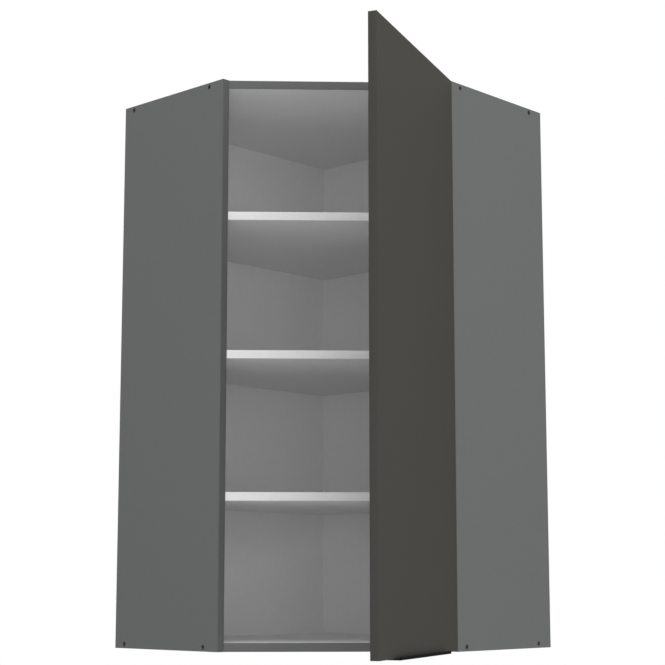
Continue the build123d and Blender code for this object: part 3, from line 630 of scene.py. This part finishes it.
def cross_head(face, head, rise, stem, length):
    """The profile of a screw from its domed face to its tip, in mm, and the cross pressed in
    the face: two bars at a right angle, deepest at the middle."""
    shares = (0.1, 0.2, 0.3, 0.4, 0.5, 0.62, 0.75, 0.88)
    rings = [(face * share, -rise + 0.12 * share ** 2) for share in shares]
    profile = [(0, -rise), *rings, (face, -rise + 0.2), (head, -0.25), (head, -0.02),
               (stem, 0.02), (stem, length - 1.2), (0.3, length - 0.1), (0, length)]
    depth, width, reach = 0.75 * rise, 0.16 * head, 0.62 * head

    def cross(x, y, height):
        x, y = np.abs(x), np.abs(y)
        bar = np.clip((width - np.minimum(x, y)) / (0.5 * width), 0, 1)
        along = np.clip((reach - np.maximum(x, y)) / (0.3 * reach), 0, 1)
        return depth * bar * along * (height < -rise + 0.3)

    return turned(profile, 40, cross)


def eased(piece, width):
    """Breaks a piece's sharp edges by a small round of that width in metres."""
    ease = piece.modifiers.new("eased_edges", "BEVEL")
    ease.width, ease.segments = width, 2
    ease.limit_method, ease.angle_limit = "ANGLE", math.radians(40)
    ease.harden_normals = True


def merged(node_name):
    """A CAD solid's loose triangles merged to its flat faces, as points and faces."""
    shell = bmesh.new()
    shell.from_mesh(cad_nodes[node_name].data)
    bmesh.ops.remove_doubles(shell, verts=shell.verts, dist=1e-6)
    bmesh.ops.dissolve_limit(shell, angle_limit=math.radians(1),
                             verts=shell.verts, edges=shell.edges)
    shell.verts.index_update()
    points = np.array([v.co[:] for v in shell.verts])
    faces = [[v.index for v in face.verts] for face in shell.faces]
    shell.free()
    return points, faces


zinc = metal("cast_zinc", linear(150, 152, 155), 0.45)
white_plastic = plastic("white_plastic", linear(226, 226, 222), 0.42)
housings = fitted("bracket_housings", merged("hanger_bodies"),
                  zinc, "carcass", "hanger_bodies")
covers = fitted("bracket_covers", merged("hanger_covers"),
                white_plastic, "carcass", "hanger_covers")
hooks = fitted("bracket_hooks", merged("hanger_hooks"),
               plated, "carcass", "hanger_hooks")
for bracket_piece, ease_width in ((housings, 0.0003), (covers, 0.0005), (hooks, 0.0004)):
    eased(bracket_piece, ease_width)

HOUSING_WALL = 0.582
HOUSING_MIDDLE = 0.023
HOUSING_FRONT = 0.046
HOOK_MIDDLE = 0.5755
bracket_screw_heights = (1.010, 1.036)
adjuster_heights = (1.021, 1.04575)
bracket_screw = cross_head(3.2, 3.5, 1.8, 1.8, 15.0)
fitted("bracket_screws", joined(
    set_along(bracket_screw, [(HOUSING_WALL, -HOUSING_MIDDLE, z) for z in bracket_screw_heights],
              (1, 0, 0)),
    set_along(bracket_screw, [(HOUSING_MIDDLE, -HOUSING_WALL, z) for z in bracket_screw_heights],
              (0, -1, 0)),
), plated, "carcass", "hanger_screws")
adjuster = cross_head(3.2, 3.4, 1.4, 2.3, 9.0)
fitted("bracket_adjusters", joined(
    set_along(adjuster, [(HOOK_MIDDLE, -HOUSING_FRONT, z) for z in adjuster_heights], (0, 1, 0)),
    set_along(adjuster, [(HOUSING_FRONT, -HOOK_MIDDLE, z) for z in adjuster_heights], (-1, 0, 0)),
), plated, "carcass", "hanger_adjusters")


# ---------------------------------------------------------------- hinges on the side panel
# Three mounting plates of cast zinc screwed to the side panel, each with a folded steel
# arm clamped on its rail. The arm comes down to the panel and ends in the middle knuckle.
def bent_strip(path, bend, thickness, steps=7):
    """The section of a bent sheet: its middle line turns each corner in an arc of the bend's
    radius, and the section's two sides run half the thickness off that line, square to it."""
    path = np.asarray(path, float)
    radii = np.full((len(path) - 2, 1), float(bend))
    bends = corner_arcs(path[:-2], path[1:-1], path[2:], radii, steps)
    line = np.vstack([path[:1], bends, path[-1:]])
    run = np.gradient(line, axis=0)
    run /= np.linalg.norm(run, axis=1, keepdims=True)
    side = np.column_stack([-run[:, 1], run[:, 0]]) * thickness / 2
    return np.vstack([line + side, (line - side)[::-1]])


def raised(outline, place, low, high):
    """A plan outline in the cabinet's X and Y, in mm, raised between two heights of a place."""
    return drawn_along(outline, (0, 0, place + low * MM), (0, 0, place + high * MM),
                       (1, 0, 0), (0, 1, 0))


KNUCKLE, PIN_BORE, KNUCKLE_EASE = 2.7, 1.45, 0.35


def knuckle_tube(low, high, spokes=32):
    """A tube about the third axis: a closed ring section with eased outer edges, turned."""
    shoulder = KNUCKLE - KNUCKLE_EASE
    section = np.array([(PIN_BORE, low), (shoulder, low), (KNUCKLE, low + KNUCKLE_EASE),
                        (KNUCKLE, high - KNUCKLE_EASE), (shoulder, high), (PIN_BORE, high)]) * MM
    turn = 2 * np.pi * np.arange(spokes)[None, :] / spokes
    radius, height = section[:, :1], section[:, 1:]
    points = np.stack([radius * np.cos(turn), radius * np.sin(turn), height + 0 * turn], -1)
    i, j = np.meshgrid(np.arange(len(section)), np.arange(spokes), indexing="ij")
    n, k = (i + 1) % len(section), (j + 1) % spokes
    quads = np.stack([i * spokes + j, i * spokes + k, n * spokes + k, n * spokes + j], -1)
    return points.reshape(-1, 3), quads.reshape(-1, 4).tolist()


PLATE_Y, PLATE_FACE = -0.253, 581.5
RAIL_FACE, RAIL_HALF = 577.0, 5.5
RAIL_FRONT, RAIL_REAR = -271, -228
wing_outline = rounded_outline(rectangle(-7.5, 7.5, -24, 24), 3.6, 7)
rail_outline = rounded_outline(rectangle(SIDE_INNER, RAIL_FACE, RAIL_FRONT, RAIL_REAR),
                               (0.1, 1.8, 1.8, 0.1), 6)
wings = [drawn_along(wing_outline, (SIDE_INNER * MM, PLATE_Y, z), (PLATE_FACE * MM, PLATE_Y, z),
                     (0, 1, 0), (0, 0, 1)) for z in hinge_heights]
rails = [raised(rail_outline, z, -RAIL_HALF, RAIL_HALF) for z in hinge_heights]
mounting_plates = fitted("mounting_plates", joined(*wings, *rails),
                         zinc, "carcass", "hinge_plates")
eased(mounting_plates, 0.0004)

PIN_X, PIN_Y = (c / MM for c in frame["joints"][0]["pos_m"][:2])
SHEET_STEEL = 1.2
SHEET_EASE = 0.0002
NECK_ROOT, NECK_HALF = 2.0, 0.9
ARM_HALF = 8.0
ARM_X, FLAT_X, HOOKED_Y = 576.1, 583.4, -289.4
ARM_REAR, ARM_KINK, ARM_FOOT = -232, -273, -281
FLANGE_X, FLANGE_FRONT = 581.2, -269.5
arm_section = bent_strip([(ARM_X, ARM_REAR), (ARM_X, ARM_KINK), (FLAT_X, ARM_FOOT),
                          (FLAT_X, HOOKED_Y), (PIN_X, HOOKED_Y)], 1.2, SHEET_STEEL)
flange_outline = rounded_outline([(ARM_X, ARM_KINK), (FLANGE_X, FLANGE_FRONT),
                                  (FLANGE_X, ARM_REAR), (ARM_X, ARM_REAR)], (0.3, 2.0, 2.0, 0.3))
arm_neck = rectangle(PIN_X - NECK_HALF, PIN_X + NECK_HALF, PIN_Y + NECK_ROOT, HOOKED_Y)
middle_knuckle = knuckle_tube(-ARM_HALF, ARM_HALF)
folded_arms = fitted("folded_arms", joined(*[piece for z in hinge_heights for piece in (
    raised(arm_section, z, -ARM_HALF, ARM_HALF),
    raised(flange_outline, z, -ARM_HALF, SHEET_STEEL - ARM_HALF),
    raised(flange_outline, z, ARM_HALF - SHEET_STEEL, ARM_HALF),
    raised(arm_neck, z, -ARM_HALF, ARM_HALF),
    set_along(middle_knuckle, [(PIN_X * MM, PIN_Y * MM, z)], (0, 0, 1)),
)]), plated, "carcass", "hinge_arms")
eased(folded_arms, SHEET_EASE)

PLATE_SCREW_FACE, ARM_SCREW_FACE = 0.5815, 0.5755
ARM_SCREW_Y = -0.240
plate_screw = cross_head(3.0, 4.1, 1.8, 2.3, 12.0)
plate_screw_heights = [z + side for z in hinge_heights for side in (-0.016, 0.016)]
fitted("plate_screws", set_along(plate_screw, [
    (PLATE_SCREW_FACE, PLATE_Y, z) for z in plate_screw_heights
], (1, 0, 0)), plated, "carcass", "hinge_plate_screws")
arm_screw = cross_head(3.3, 3.8, 1.8, 1.8, 5.0)
fitted("arm_screws", set_along(arm_screw, [
    (ARM_SCREW_FACE, ARM_SCREW_Y, z) for z in hinge_heights
], (1, 0, 0)), plated, "carcass", "hinge_arm_screws")

# ---------------------------------------------------------------- hinges on the door
# Cast cups sunk in the door's back, steel straps riveted to them that reach round the
# door's corner to two knuckles, and a steel pin through all three knuckles.
PIN = np.array([PIN_X, PIN_Y]) * MM
REST_ANGLE = -math.radians(frame["joints"][0]["range_deg"][0])
swing = np.array([[math.cos(REST_ANGLE), math.sin(REST_ANGLE)],
                  [-math.sin(REST_ANGLE), math.cos(REST_ANGLE)]])
door_across, door_outward = to_side @ swing, to_front @ swing
sideways, outward = (*door_across, 0.0), (*door_outward, 0.0)


def on_door(across, out, height):
    """The place in the cabinet of a point of the door as it stands open: across and out of
    the closed front in mm, turned with the door about the hinge pin."""
    closed = np.array([FRONT_CENTRE, -FRONT_CENTRE]) + MM * (across * to_side + out * to_front)
    return (*(PIN + (closed - PIN) @ swing), height)


def carried(section, place, low, high):
    """A section in the door's own directions, across and out in mm, raised between two
    heights of a place."""
    ends = [on_door(0.0, 0.0, place + height * MM) for height in (low, high)]
    return drawn_along(section, *ends, sideways, outward)


DOOR_HALF = 206.989
DOOR_BACK = 2.2
PIN_ACROSS, PIN_OUT = -211.989, 9.05
CUP_ACROSS = -183.989
SEAT = CUP_ACROSS - 4.0
STRAP_HALF, TONGUE_HALF, KNUCKLE_START = 21.0, 12.6, 8.3
STRAP_END = PIN_OUT + 2.0
strap_middle = SHEET_STEEL / 2 - DOOR_HALF
tongue_middle = DOOR_BACK + SHEET_STEEL / 2
tongue_section = bent_strip([(SEAT, tongue_middle), (strap_middle, tongue_middle),
                             (strap_middle, STRAP_END)], 1.1, SHEET_STEEL)
edge_section = rounded_outline(
    rectangle(-DOOR_HALF, SHEET_STEEL - DOOR_HALF, DOOR_BACK, STRAP_END), (1.1, 0.05, 0.2, 0.2))
strap_neck = rectangle(PIN_ACROSS + NECK_ROOT, strap_middle,
                       PIN_OUT - NECK_HALF, PIN_OUT + NECK_HALF)
knuckle_runs = ((-STRAP_HALF, -KNUCKLE_START), (KNUCKLE_START, STRAP_HALF))
folded_straps = fitted("folded_straps", joined(*[piece for z in hinge_heights for piece in (
    carried(tongue_section, z, -TONGUE_HALF, TONGUE_HALF),
    carried(edge_section, z, -STRAP_HALF, STRAP_HALF),
    *[carried(strap_neck, z, *run) for run in knuckle_runs],
    *[set_along(knuckle_tube(*run), [(*PIN, z)], (0, 0, 1)) for run in knuckle_runs],
)]), plated, "door", "hinge_straps")
eased(folded_straps, SHEET_EASE)


def on_circle(radius, turn):
    """Points at those angles on a circle round the origin."""
    return radius * np.column_stack([np.cos(turn), np.sin(turn)])


def evenly(outline, count=1600):
    """The closed outline as points at even distances along it."""
    closed = np.vstack([outline, outline[:1]])
    run = np.concatenate([[0.0], np.cumsum(np.hypot(*np.diff(closed, axis=0).T))])
    even = np.linspace(0.0, run[-1], count, endpoint=False)
    return np.column_stack([np.interp(even, run, column) for column in closed.T])


def reach_round(outline, centre, angles):
    """How far a closed outline lies from a centre, at each of some angles round it."""
    from_centre = evenly(outline) - centre
    angle = np.arctan2(from_centre[:, 1], from_centre[:, 0])
    order = np.argsort(angle)
    return np.interp(angles, angle[order], np.hypot(*from_centre.T)[order], period=2 * np.pi)


def dished(reaches, levels, floor_height, centre, angles):
    """A shell with a hollow: rings at those angles round a centre, from the foot up and down
    into the hollow. Each ring lies at one of the reaches, changed by an amount, and at its
    own height, in mm."""
    count = len(angles)
    spokes = on_circle(1.0, angles)
    rings = [np.column_stack([centre + (reaches[which] + change)[:, None] * spokes,
                              np.full(count, height)]) for which, change, height in levels]
    points = np.vstack([*rings, [(*centre, floor_height)]]) * MM
    i, j = np.meshgrid(np.arange(len(levels) - 1) * count, np.arange(count), indexing="ij")
    k = (j + 1) % count
    quads = np.stack([i + j, i + k, i + count + k, i + count + j], -1)
    edge = (len(levels) - 1) * count + np.arange(count)
    fan = np.column_stack([edge, np.roll(edge, -1), np.full(count, len(levels) * count)])
    return points, quads.reshape(-1, 4).tolist() + fan.tolist() + [np.arange(count)[::-1].tolist()]


CUP_RADIUS, CUP_DEEP = 17.5, 11.5
RIM_RADIUS, WING_THICK = 18.5, 1.4
POCKET_RADIUS, POCKET_DEEP, POCKET_EDGE = 15.5, 9.7, -2.0
SEAT_EDGE, SEAT_DEEP, SHOULDER = -4.0, 1.3, 12.7
WING_EDGE, WING_HALF, WING_STEPS = 13.0, 31.0, 8
CUP_MIDDLE = (5.0, 0.0)
ring_angles = 2 * np.pi * np.arange(240) / 240
wing = rounded_outline(rectangle(SEAT_EDGE, WING_EDGE, -WING_HALF, WING_HALF), 3.6, WING_STEPS)
rim = on_circle(RIM_RADIUS, np.linspace(-1, 1, 181) * math.acos(SEAT_EDGE / RIM_RADIUS))
beyond_wing = rim[rim[:, 0] > WING_EDGE]
cup_outline = np.vstack([wing[:2 * WING_STEPS], beyond_wing, wing[2 * WING_STEPS:]])
pocket_turn = np.linspace(-1, 1, 121) * math.acos(POCKET_EDGE / POCKET_RADIUS)
reaches = {name: reach_round(outline, CUP_MIDDLE, ring_angles) for name, outline in (
    ("rim", cup_outline),
    ("pocket", on_circle(POCKET_RADIUS, pocket_turn)),
    ("bowl", on_circle(CUP_RADIUS, ring_angles)),
)}
reaches["waist"] = np.minimum(reaches["rim"], reaches["bowl"])
cup_levels = [
    ("bowl", -0.6, -CUP_DEEP), ("bowl", 0.0, 0.6 - CUP_DEEP), ("bowl", 0.0, -SEAT_DEEP),
    ("waist", 0.0, -SEAT_DEEP), ("waist", 0.0, 0.0), ("rim", 0.0, 0.0),
    ("rim", 0.0, WING_THICK - 0.4), ("rim", -0.12, WING_THICK - 0.12),
    ("rim", -0.4, WING_THICK), ("rim", -0.7, WING_THICK),
    ("pocket", 0.9, WING_THICK), ("pocket", 0.6, WING_THICK),
    ("pocket", 0.15, WING_THICK - 0.12), ("pocket", 0.0, WING_THICK - 0.5),
    ("pocket", 0.0, 1.2 - POCKET_DEEP), ("pocket", -0.3, 0.4 - POCKET_DEEP),
    ("pocket", -1.0, -POCKET_DEEP), ("pocket", -1.4, -POCKET_DEEP),
]
open_cup = dished(reaches, cup_levels, -POCKET_DEEP, CUP_MIDDLE, ring_angles)
seat_turn = np.linspace(math.acos(SEAT_EDGE / CUP_RADIUS),
                        math.pi - math.asin(SHOULDER / CUP_RADIUS), 16)
shoulder_outline = np.vstack([[(SEAT_EDGE, SHOULDER)], on_circle(CUP_RADIUS, seat_turn)])


def set_in_door(shape, across, height):
    """A shape drawn across, up and towards the room's inside, set on the door's back."""
    points, faces = shape
    up = np.array([0.0, 0.0, 1.0])
    laid = points[:, :1] * np.array(sideways) + points[:, 1:2] * up - points[:, 2:] * outward
    return laid + np.array(on_door(across, DOOR_BACK, height)), faces


def seat_shoulder(side, z):
    """The flush shoulder of the cup above or below the strap's tongue."""
    ends = [on_door(CUP_ACROSS, DOOR_BACK + deep, z) for deep in (3.0, 0.0)]
    return drawn_along(shoulder_outline, *ends, sideways, (0, 0, side))


fitted("cast_cups", joined(*[piece for z in hinge_heights for piece in (
    set_in_door(open_cup, CUP_ACROSS, z), seat_shoulder(1, z), seat_shoulder(-1, z),
)]), zinc, "door", "hinge_cups")
cup_screw = cross_head(3.2, 3.6, 0.7, 1.75, 11.0)
fitted("cup_screws", set_along(cup_screw, [
    on_door(CUP_ACROSS + 6, DOOR_BACK - WING_THICK, z + side)
    for z in hinge_heights for side in (-0.024, 0.024)
], outward), plated, "door", "hinge_cup_screws")
RIVET = [(0, -0.85), (1.2, -0.8), (2.2, -0.62), (2.9, -0.35), (3.2, -0.05), (3.1, 0.0),
         (1.9, 0.02), (1.85, 4.0), (1.5, 4.2), (0, 4.2)]
fitted("strap_rivets", set_along(turned(RIVET, 28), [
    on_door(CUP_ACROSS - 8.75, DOOR_BACK, z + side)
    for z in hinge_heights for side in (-0.007, 0.007)
], outward), plated, "door", "hinge_rivets")
PIVOT = [(0, -22), (1.3, -21.95), (1.9, -21.7), (2.15, -21.4), (2.15, -21.1), (1.4, -21.0),
         (1.4, 21.0), (2.15, 21.1), (2.15, 21.4), (1.9, 21.7), (1.3, 21.95), (0, 22)]
fitted("pivot_pins", set_along(turned(PIVOT, 28), [(*PIN, z) for z in hinge_heights], (0, 0, 1)),
       plated, "door", "hinge_pins")


# ---------------------------------------------------------------- door
# A 16 mm board in a dark, dull, brownish-grey film on both faces, with one-millimetre
# tape of the same colour on all four edges.
def door_film():
    """Dull dark film with a soft cloud of tone and a faint pearl."""
    material, tree, place = new_finish("door_film")
    surface(tree, {
        "Base Color": varied(tree, place, linear(63, 61, 55), scale=40.0, amount=0.04),
        "Roughness": 0.62,
        "Specular IOR Level": 0.14,
        "Normal": film_grain(tree, place, depth=0.00006),
    })
    return material


dress("door_panel", door_film())
DOOR_FRONT = DOOR_BACK + BOARD / MM
DOOR_FOOT, DOOR_HEAD = 0.002, 1.078
STRAP_CUT_HALF = 0.0211
STRAP_CUT_END = STRAP_END + 0.1


def upright_tape(side, low, high, back):
    """The tape on one upright edge of the door, from a height to another."""
    return drawn_along(taped(DOOR_HALF - TAPE, DOOR_HALF, back, DOOR_FRONT),
                       on_door(0, 0, low), on_door(0, 0, high),
                       (*(side * door_across), 0.0), outward)


def level_tape(height, side):
    """The tape on the door's lower or upper edge, between the upright ones."""
    ends = [on_door(across, 0, height) for across in (TAPE - DOOR_HALF, DOOR_HALF - TAPE)]
    return drawn_along(taped(-TAPE, 0.0, DOOR_BACK, DOOR_FRONT), *ends, (0, 0, side), outward)


hinge_side_tapes = [
    upright_tape(-1, low, high, STRAP_CUT_END if at_cut else DOOR_BACK)
    for low, high, at_cut in stretches(DOOR_FOOT, DOOR_HEAD, hinge_heights, STRAP_CUT_HALF)
]
fitted("door_tapes", joined(
    *hinge_side_tapes, upright_tape(1, DOOR_FOOT, DOOR_HEAD, DOOR_BACK),
    level_tape(DOOR_FOOT, -1), level_tape(DOOR_HEAD, 1),
), tape("door_tape", linear(67, 65, 61), 0.6, 0.14), "door", "door_edge_bands")

# ---------------------------------------------------------------- handle
# An extruded black edge pull under the door: its flange is screwed to the door's back,
# its web passes below, and its low lip turns up in front for the fingers.
FLANGE_BACK, FLANGE_TOP = DOOR_BACK - 1.1, 22.1
WEB_LOW, WEB_TOP = 0.1, 1.9
NOSE, INNER_LIP, LIP_TOP = 29.2, 27.2, 5.4
HANDLE_HALF = 134
PULL_SCREW_SPREAD, PULL_SCREW_HEIGHT = 96, 0.013
handle_corners = [
    (FLANGE_BACK, WEB_LOW), (NOSE, WEB_LOW), (NOSE, LIP_TOP), (INNER_LIP, LIP_TOP),
    (INNER_LIP, WEB_TOP), (DOOR_BACK, WEB_TOP), (DOOR_BACK, FLANGE_TOP), (FLANGE_BACK, FLANGE_TOP),
]
handle_radii = (0.5, 0.9, 0.8, 0.8, 1.2, 0.2, 0.3, 0.4)
black_metal = metal("black_handle", linear(14, 14, 15), 0.6, (1.0, 1.0, 12.0), 0.0, 0.02)
handle_ends = [np.array(on_door(side, 0.0, 0.0)) for side in (-HANDLE_HALF, HANDLE_HALF)]
fitted("edge_pull", drawn_along(rounded_outline(handle_corners, handle_radii), *handle_ends,
                                outward, (0, 0, 1)),
       black_metal, "door", "door_handle")
pull_screw = cross_head(2.9, 3.2, 0.9, 1.55, 12.0)
fitted("pull_screws", set_along(pull_screw, [
    on_door(side * PULL_SCREW_SPREAD, FLANGE_BACK, PULL_SCREW_HEIGHT) for side in (-1, 1)
], outward), plated, "door", "handle_screws")

# ---------------------------------------------------------------- buffers
# Two clear soft plastic domes stuck on the door's back by its free edge. They meet the
# front edges of the top and bottom panels when the door closes.
DOME = [(0, -1.6), (1.4, -1.55), (2.4, -1.35), (3.2, -0.95), (3.8, -0.4), (4.0, 0.0), (0, 0.0)]
BUFFER_INSET = 12
clear_rubber = plastic("clear_buffer", linear(214, 216, 214), 0.2)
fitted("buffer_domes", set_along(turned(DOME, 28), [
    on_door(DOOR_HALF - BUFFER_INSET, DOOR_BACK, z) for z in (0.014, 1.066)
], outward), clear_rubber, "door", "door_bumpers")
